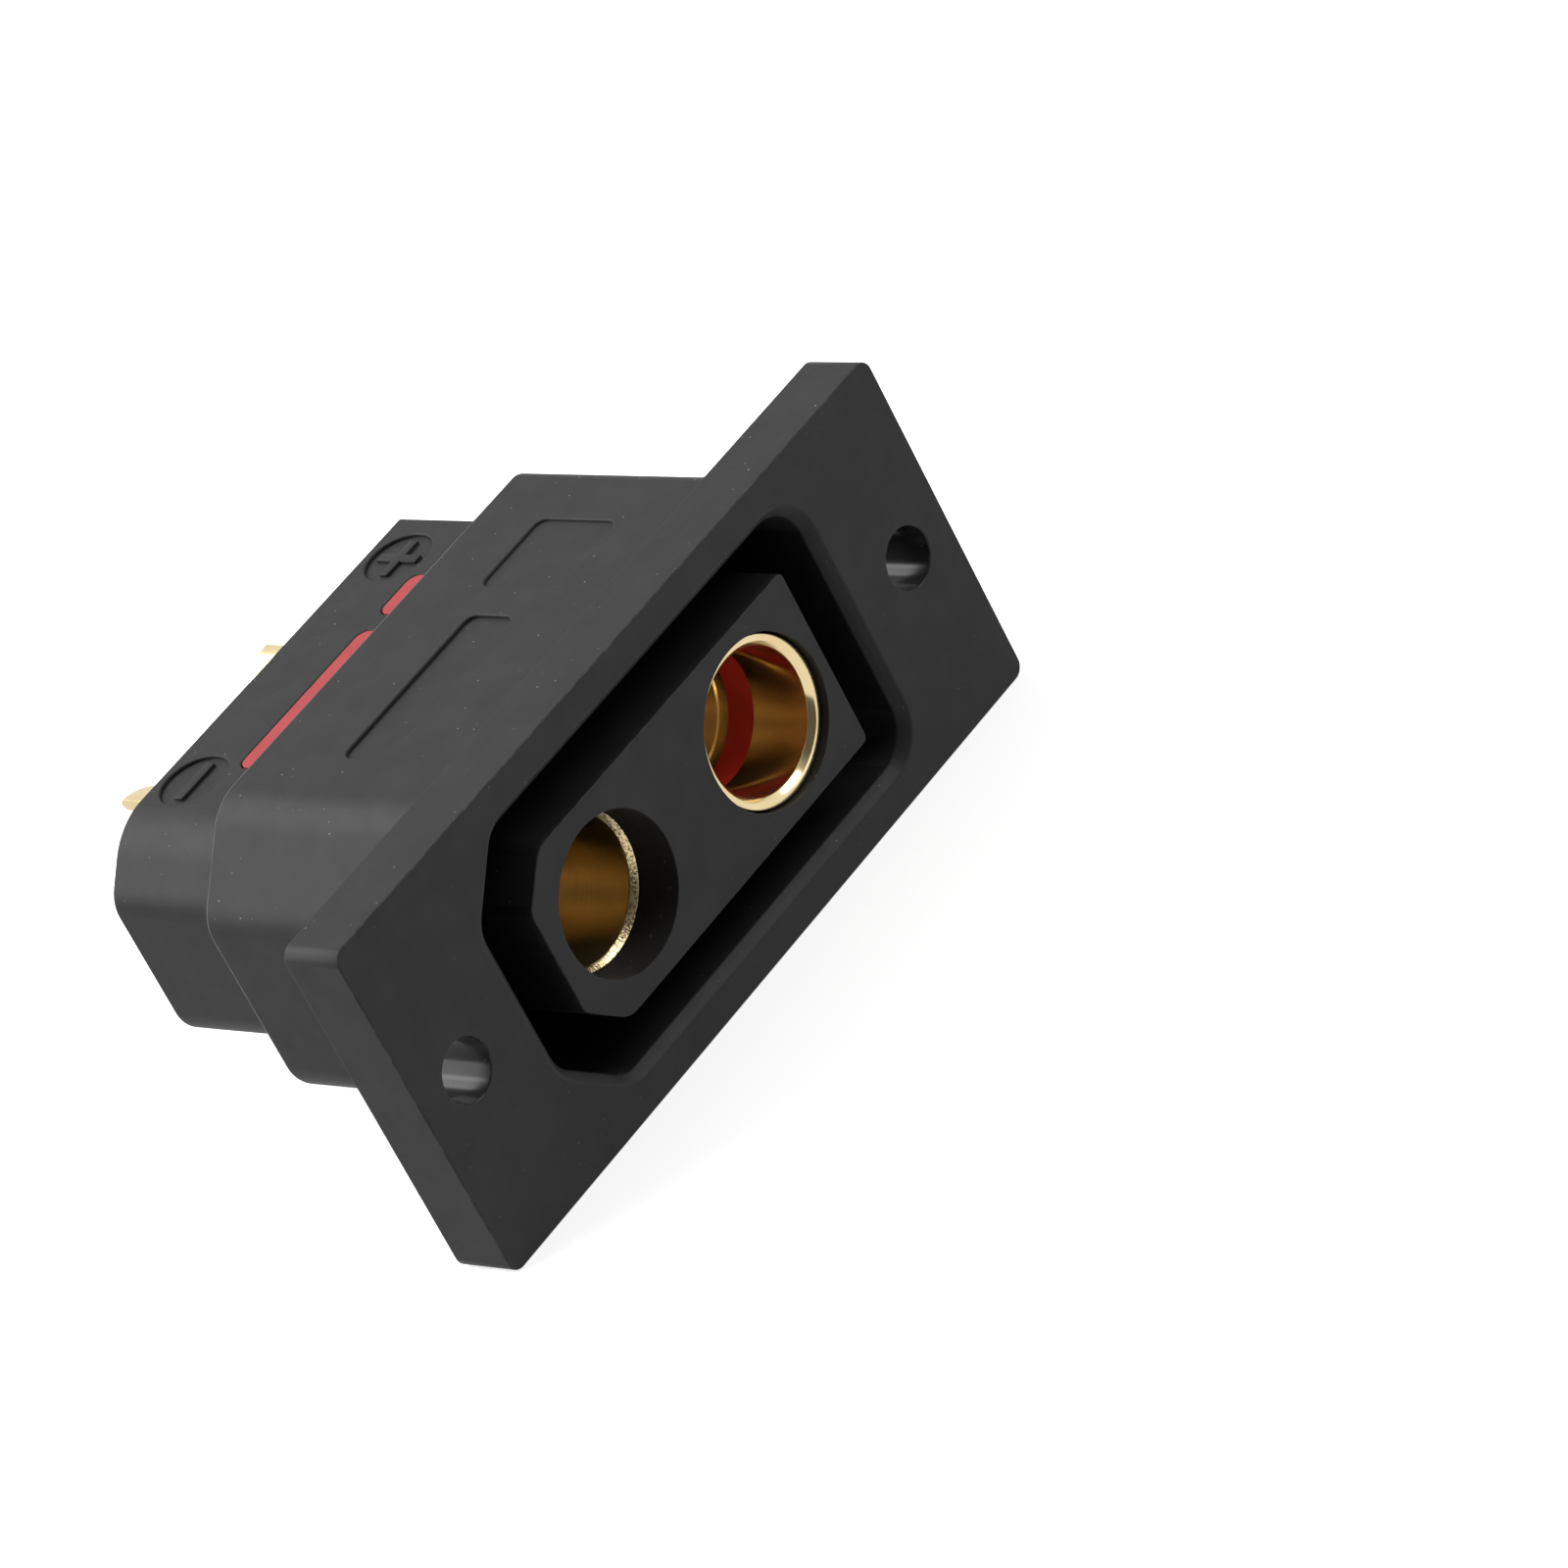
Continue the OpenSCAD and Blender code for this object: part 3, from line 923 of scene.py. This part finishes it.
@dataclass
class TurnedPart:
    """A part turned about an axis along Y."""

    name: str
    axis_x: float
    profile: Sequence[Corner]
    segments: int = 128
    edge_steps: int = 3
    slack: float = 0.003 * MM

    def build(self) -> bpy.types.Object:
        """Draw the profile vertex by vertex, spin it and round its edges.

        Returns:
            The turned piece, neither shaded nor dressed yet.
        """
        bpy.ops.mesh.primitive_plane_add(size=MM)
        piece = bpy.context.object
        piece.name = self.name
        with editing(piece):
            bpy.ops.mesh.select_mode(type="VERT")
            bpy.ops.mesh.select_all(action="SELECT")
            bpy.ops.mesh.merge(type="CENTER")
            points = [Vector((self.axis_x, corner.y, corner.radius)) for corner in self.profile]
            bpy.ops.transform.translate(value=points[0])
            for here, there in zip(points, points[1:] + points[:1]):
                # A profile that starts and ends on the axis needs no line back
                if there is points[0] and here.z == 0 == there.z:
                    break
                bpy.ops.mesh.extrude_region_move(TRANSFORM_OT_translate={"value": there - here})
            bpy.ops.mesh.select_all(action="SELECT")
            bpy.ops.mesh.spin(
                steps=self.segments, angle=math.tau, center=(self.axis_x, 0.0, 0.0), axis=(0.0, 1.0, 0.0),
            )
            bpy.ops.mesh.select_all(action="SELECT")
            bpy.ops.mesh.remove_doubles(threshold=MERGE)
            bpy.ops.mesh.normals_make_consistent(inside=False)
            for rounding in sorted({c.rounding for c in self.profile if c.rounding}):
                self.round_edges(piece, rounding)
        return piece

    def round_edges(self, piece: bpy.types.Object, rounding: float) -> None:
        """Round all ring edges of one size, in edit mode.

        Args:
            piece: The turned piece.
            rounding: Width of the rounding.
        """
        rings = [(c.radius, c.y) for c in self.profile if c.rounding == rounding]

        def on_ring(edge: bmesh.types.BMEdge) -> bool:
            """Tell whether both ends of an edge lie on one of the rings."""
            return any(all(self.near(vert.co, *ring) for vert in edge.verts) for ring in rings)

        pick(piece, "edges", on_ring)
        bpy.ops.mesh.bevel(offset=rounding, segments=self.edge_steps, affect="EDGES", clamp_overlap=True)

    def near(self, place: Vector, radius: float, y: float) -> bool:
        """Tell whether a point lies on a ring of the profile.

        Args:
            place: The point.
            radius: Radius of the ring.
            y: Place of the ring along Y.

        Returns:
            True if it does.
        """
        reach = math.hypot(place.x - self.axis_x, place.z)
        return abs(reach - radius) < self.slack and abs(place.y - y) < self.slack


@dataclass
class Contacts:
    """The two gold-plated contacts, the pre-charge ring and the pieces between them."""

    gold: GoldPlate
    ring_gold: GoldPlate
    insulator: MouldedPlastic
    bore_r: float = 4.0 * MM
    mouth_chamfer: float = 0.35 * MM
    socket_reach: float = 15.0 * MM
    counterbore_r: float = 4.1 * MM
    counterbore_len: float = 0.85 * MM
    cup_r: float = 4.15 * MM
    cup_bore_r: float = 3.4 * MM
    cup_depth: float = 8.2 * MM
    cup_chamfer: float = 0.25 * MM
    cup_ring_len: float = 2.85 * MM
    cup_opening: float = 0.25 * MM
    opening_edge: float = 0.07 * MM
    edge_steps: int = 2
    shoulder_y: float = 19.2 * MM
    drill_point: float = 0.6
    chip_coat_share: float = 0.6
    lip: float = 0.08 * MM
    fine_lip: float = 0.02 * MM
    smooth_deg: float = 25.0
    cut_deg: float = 30.0

    def build(self) -> None:
        """Model and dress the contacts, and dress the spacer and the chip."""
        for name in ("negative_contact", "positive_contact"):
            piece = TurnedPart(f"{name}_turned", self.axis(name), self.contact_profile(name)).build()
            self.open_cup(piece, self.axis(name))
            smooth(piece, self.smooth_deg)
            mouth_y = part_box(name)[0].y + self.mouth_chamfer
            scratched_y = mouth_y if name == "negative_contact" else None
            dress(piece, self.gold.material(self.axis(name), scratched_y))
            seat(piece, Slot.GOLD, name)
        ring_axis = self.axis("precharge_ring")
        ring = TurnedPart("precharge_ring_turned", ring_axis, self.ring_profile()).build()
        smooth(ring, self.smooth_deg)
        dress(ring, self.ring_gold.material(ring_axis))
        seat(ring, Slot.GOLD, "precharge_ring")
        dress_node("spacer_ring", self.insulator.material())
        low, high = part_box("precharge_resistor")
        chip = ChipCeramic("chip_coat", (low.y + high.y) / 2, (high.y - low.y) * self.chip_coat_share)
        dress_node("precharge_resistor", chip.material())

    @staticmethod
    def axis(node: str) -> float:
        """Place of a node's axis along X."""
        low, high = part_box(node)
        return (low.x + high.x) / 2

    def open_cup(self, piece: bpy.types.Object, axis_x: float) -> None:
        """Cut the outer side off a solder cup and break the edges of the cut.

        Args:
            piece: The turned contact.
            axis_x: Place of its axis along X.
        """
        outward = math.copysign(1.0, axis_x)
        inner_x = axis_x - outward * self.cup_opening
        outer_x = axis_x + outward * 2 * self.cup_r
        start_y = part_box("housing")[1].y + self.cup_ring_len
        low = Vector((min(inner_x, outer_x), start_y, -2 * self.cup_r))
        high = Vector((max(inner_x, outer_x), start_y + self.cup_depth, 2 * self.cup_r))
        combine(piece, block("opening", low, high), "DIFFERENCE")

        def on_cut(edge: bmesh.types.BMEdge) -> bool:
            """Tell whether an edge bounds one of the faces of the cut.

            Args:
                edge: An edge of the contact.

            Returns:
                True if it does.
            """
            if len(edge.link_faces) != 2 or not edge.is_convex:
                return False
            if edge.calc_face_angle() < math.radians(self.cut_deg):
                return False
            past = all(outward * (vert.co.x - inner_x) > -MERGE for vert in edge.verts)
            flat_x = all(abs(vert.co.x - inner_x) < MERGE for vert in edge.verts)
            flat_y = all(abs(vert.co.y - start_y) < MERGE for vert in edge.verts)
            return (flat_x and edge.verts[0].co.y > start_y - MERGE) or (flat_y and past)

        with editing(piece):
            pick(piece, "edges", on_cut)
            bpy.ops.mesh.bevel(
                offset=self.opening_edge, segments=self.edge_steps, affect="EDGES", clamp_overlap=True,
            )

    def contact_profile(self, node: str) -> list[Corner]:
        """Profile of a contact, from the socket's drill point round to it again.

        Args:
            node: The CAD node of the contact.

        Returns:
            The corners in order.
        """
        low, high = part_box(node)
        body_r = (high.z - low.z) / 2
        front, end = low.y, high.y
        cup_floor = end - self.cup_depth
        if node == "positive_contact":
            mouth = [
                Corner(self.bore_r, front + self.counterbore_len, self.fine_lip / 2),
                Corner(self.counterbore_r, front + self.counterbore_len),
                Corner(self.counterbore_r, front, self.lip),
                Corner(body_r, front, self.lip),
            ]
        else:
            mouth = [
                Corner(self.bore_r, front + self.mouth_chamfer, self.lip),
                Corner(self.bore_r + self.mouth_chamfer, front, self.fine_lip),
                Corner(body_r, front, self.fine_lip),
            ]
        return [
            Corner(0.0, self.socket_reach + self.bore_r * self.drill_point),
            Corner(self.bore_r, self.socket_reach),
            *mouth,
            Corner(body_r, self.shoulder_y),
            Corner(self.cup_r, self.shoulder_y),
            Corner(self.cup_r, end - self.cup_chamfer, self.lip),
            Corner(self.cup_r - self.cup_chamfer, end, self.lip),
            Corner(self.cup_bore_r + self.cup_chamfer, end, self.lip),
            Corner(self.cup_bore_r, end - self.cup_chamfer, self.lip),
            Corner(self.cup_bore_r, cup_floor),
            Corner(0.0, cup_floor - self.cup_bore_r * self.drill_point),
        ]

    def ring_profile(self) -> list[Corner]:
        """Profile of the pre-charge ring.

        Returns:
            The corners in order.
        """
        low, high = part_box("precharge_ring")
        outer_r = (high.z - low.z) / 2
        return [
            Corner(self.bore_r, low.y + self.mouth_chamfer, self.lip),
            Corner(self.bore_r + self.mouth_chamfer, low.y, self.lip),
            Corner(outer_r, low.y, self.lip),
            Corner(outer_r, high.y, self.fine_lip),
            Corner(self.bore_r, high.y, self.fine_lip),
        ]


@dataclass
class Markers:
    """The two red inlays on top of the rear section."""

    finish: MouldedPlastic
    corner: float = 0.7 * MM
    corner_steps: int = 6
    edge: float = 0.04 * MM
    edge_steps: int = 2
    level_slack: float = 0.01 * MM
    smooth_deg: float = 35.0

    def build(self) -> None:
        """Model and dress both inlays."""
        material = self.finish.material()
        for node in ("short_marker", "long_marker"):
            piece = self.inlay(node)
            dress(piece, material)
            seat(piece, Slot.MARKER, node)

    def inlay(self, node: str) -> bpy.types.Object:
        """Cut one inlay from a block.

        Args:
            node: The CAD node that it stands for.

        Returns:
            The inlay, not yet dressed.
        """
        low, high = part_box(node)
        piece = block(f"{node}_inlay", low, high)
        with editing(piece):
            pick(piece, "edges", self.upright)
            bpy.ops.mesh.bevel(offset=self.corner, segments=self.corner_steps, affect="EDGES")
            top = high.z - self.level_slack
            pick(piece, "edges", lambda edge: all(vert.co.z > top for vert in edge.verts))
            bpy.ops.mesh.bevel(offset=self.edge, segments=self.edge_steps, affect="EDGES")
        smooth(piece, self.smooth_deg)
        return piece

    @staticmethod
    def upright(edge: bmesh.types.BMEdge) -> bool:
        """Tell whether an edge stands along Z."""
        run = edge.verts[1].co - edge.verts[0].co
        return abs(run.z) > FACING * run.length


@dataclass(frozen=True)
class PhotoCamera:
    """The camera of the photograph, in the part's frame."""

    aim: Place = (4.82 * MM, -5.44 * MM, -2.31 * MM)
    distance: float = 431.16 * MM
    azimuth_deg: float = 38.902
    elevation_deg: float = 29.271
    roll_deg: float = 27.99
    focal_pixels: float = 8397.4
    clip: Span = (10 * MM, 100.0)

    def build(self) -> None:
        """Set up the scene's camera."""
        azimuth, elevation = math.radians(self.azimuth_deg), math.radians(self.elevation_deg)
        ahead = Vector((
            math.sin(azimuth) * math.cos(elevation),
            math.cos(azimuth) * math.cos(elevation),
            -math.sin(elevation),
        ))
        level = Vector((math.cos(azimuth), -math.sin(azimuth), 0.0))
        right = Matrix.Rotation(math.radians(self.roll_deg), 3, ahead) @ level
        up = right.cross(ahead)
        lens = bpy.data.cameras.new("photo_camera")
        lens.sensor_width = SENSOR_MM
        lens.lens = self.focal_pixels / PHOTO_PIXELS * SENSOR_MM
        lens.clip_start, lens.clip_end = self.clip
        camera = bpy.data.objects.new("photo_camera", lens)
        turn = Matrix((right, up, -ahead)).transposed().to_4x4()
        camera.matrix_world = Matrix.Translation(Vector(self.aim) - ahead * self.distance) @ turn
        bpy.context.scene.collection.objects.link(camera)
        bpy.context.scene.camera = camera


@dataclass(frozen=True)
class Softbox:
    """A soft lamp that looks at the part."""

    name: str
    direction: Place
    size: float
    watts: float
    distance: float = 0.7

    def build(self) -> None:
        """Hang the lamp."""
        lamp = bpy.data.lights.new(self.name, "AREA")
        lamp.shape = "DISK"
        lamp.size = self.size
        lamp.energy = self.watts
        holder = bpy.data.objects.new(self.name, lamp)
        way = Vector(self.direction).normalized()
        holder.location = way * self.distance
        holder.rotation_mode = "QUATERNION"
        holder.rotation_quaternion = way.to_track_quat("Z", "Y")
        bpy.context.scene.collection.objects.link(holder)


@dataclass(frozen=True)
class Studio:
    """Pale floor, soft lamps and a plain bright surround with a darker side behind the viewer."""

    softboxes: tuple[Softbox, ...]
    floor_half: float = 4.0
    floor_colour: Colour = (0.86, 0.86, 0.86)
    floor_pale: float = 1.02
    floor_mottle: float = 0.5
    floor_roughness: float = 0.9
    floor_lift: float = 0.6
    surround: float = 0.42
    backdrop: float = 1.0
    dark_side: Place = (-0.55, -0.68, 0.49)
    dark_span: Span = (0.35, 0.85)
    dark_share: float = 0.12

    def build(self) -> None:
        """Set up the floor, the lamps, the surround and the view."""
        self.lay_floor()
        for softbox in self.softboxes:
            softbox.build()
        self.light_surround()
        bpy.context.scene.view_settings.view_transform = "Standard"

    def lay_floor(self) -> None:
        """Lay the floor under the part."""
        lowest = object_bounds()[0].z
        bpy.ops.mesh.primitive_plane_add(size=2 * self.floor_half, location=(0.0, 0.0, lowest))
        floor = bpy.context.object
        floor.name = "floor"
        dress(floor, self.floor_finish())
        floor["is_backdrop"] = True

    def floor_finish(self) -> bpy.types.Material:
        """Wire a pale floor that looks white to the camera and in reflections.

        Returns:
            The material.
        """
        wires = Finish("pale_floor")
        shade = wires.spread(wires.noise(self.floor_mottle, detail=2.0), NOISE_BULK, (0.0, 1.0))
        near_white = tuple(c * self.floor_pale for c in self.floor_colour)
        shader = wires.shader
        wires.wire(wires.blend(shade, self.floor_colour, near_white), shader.inputs["Base Color"])
        shader.inputs["Roughness"].default_value = self.floor_roughness
        shader.inputs["Specular IOR Level"].default_value = 0.0
        shader.inputs["Emission Color"].default_value = WHITE
        lift = wires.product(wires.seen_ray("Is Camera Ray"), self.floor_lift)
        wires.wire(lift, shader.inputs["Emission Strength"])
        white = wires.node("ShaderNodeEmission")
        white.inputs["Strength"].default_value = self.backdrop
        mirrored = wires.node("ShaderNodeMixShader")
        wires.wire(wires.seen_ray("Is Glossy Ray", "Is Transmission Ray"), mirrored.inputs["Fac"])
        wires.wire(shader.outputs["BSDF"], mirrored.inputs[1])
        wires.wire(white.outputs["Emission"], mirrored.inputs[2])
        wires.wire(mirrored.outputs["Shader"], wires.tree.nodes["Material Output"].inputs["Surface"])
        return wires.material

    def light_surround(self) -> None:
        """Make the surround light the part softly and look white, but darken where the viewer stands."""
        world = bpy.data.worlds.new("surround")
        bpy.context.scene.world = world
        world.use_nodes = True
        wires = Wires(world.node_tree)
        background = wires.tree.nodes["Background"]
        background.inputs["Color"].default_value = WHITE
        seen = wires.seen_ray("Is Camera Ray", "Is Glossy Ray", "Is Transmission Ray")
        level = wires.spread(seen, (0.0, 1.0), (self.surround, self.backdrop))
        toward = wires.node("ShaderNodeVectorMath", operation="DOT_PRODUCT")
        toward.inputs[1].default_value = Vector(self.dark_side).normalized()
        wires.wire(wires.node("ShaderNodeTexCoord").outputs["Generated"], toward.inputs[0])
        shade = wires.spread(toward.outputs["Value"], self.dark_span, (1.0, self.dark_share))
        wires.wire(wires.product(level, shade), background.inputs["Strength"])


NYLON = MouldedPlastic(
    name="black_nylon",
    colour=(0.022, 0.0222, 0.0225),
    pale=(0.027, 0.0272, 0.0275),
    roughness=(0.46, 0.5),
    gloss=0.15,
    speck_pitch=0.55 * MM,
    cored_x=20.9 * MM,
    cored_r=1.86 * MM,
    # Painted shade in the groove round the island
    painted_moat_shade=PaintedMoatShade(
        half=(15.8 * MM, 8.6 * MM),
        across=21.6 * MM,
        island_half=(12.3 * MM, 5.4 * MM),
        y=(-3.8 * MM, -3.3 * MM),
        floor_y=11.5 * MM,
        share=0.4,
    ),
    # Highlight painted on the front section's rear rim and on the front edges
    worn=PaintedEdgeHighlight(
        rim_y=(14.84 * MM, 15.08 * MM),
        face_y=(-3.885 * MM, -3.82 * MM),
        moat_half=(16.3 * MM, 9.0 * MM),
        island_half=(12.7 * MM, 5.8 * MM),
    ),
)
MARKER_RED = MouldedPlastic(
    name="red_inlay",
    colour=(0.37, 0.028, 0.032),
    pale=(0.425, 0.037, 0.042),
    roughness=(0.4, 0.55),
    gloss=0.4,
)
INSULATOR_RED = MouldedPlastic(
    name="red_insulator",
    colour=(0.5, 0.03, 0.022),
    pale=(0.56, 0.038, 0.028),
    roughness=(0.3, 0.45),
    gloss=0.5,
)
GOLD = GoldPlate(
    name="gold_plate",
    colour=(0.84, 0.69, 0.4),
    deep=(0.79, 0.63, 0.34),
    # Painted shade deep in the bore
    painted_bore_colour=(0.75, 0.59, 0.34),
    roughness=(0.18, 0.28),
)
RING_GOLD = replace(
    GOLD,
    name="ring_gold_plate",
    # Warmer, brighter inner wall: painted reflection of the red spacer
    painted_bore_colour=(0.95, 0.72, 0.43),
    roughness=(0.13, 0.21),
    painted_bore_span=(-3.1 * MM, -2.9 * MM),
)
STUDIO = Studio(
    softboxes=(
        Softbox("key_back", (-0.06, 0.68, 0.73), size=0.42, watts=2.8),
        Softbox("side_back", (-0.52, 0.68, 0.52), size=0.6, watts=4.0),
        Softbox("top", (0.1, 0.3, 1.0), size=0.5, watts=0.2),
        Softbox("front_right", (0.55, -0.49, 0.68), size=0.4, watts=1.8),
        Softbox("front_fill", (0.3, -0.9, 0.12), size=0.5, watts=0.5, distance=0.8),
    ),
)


def main() -> None:
    """Build the connector's looks and its studio in order."""
    logging.basicConfig(level=logging.INFO, format="%(name)s: %(message)s")
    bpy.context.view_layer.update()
    Housing(NYLON).build()
    Contacts(GOLD, RING_GOLD, INSULATOR_RED).build()
    Markers(MARKER_RED).build()
    PhotoCamera().build()
    STUDIO.build()


if __name__ == "__main__":
    main()
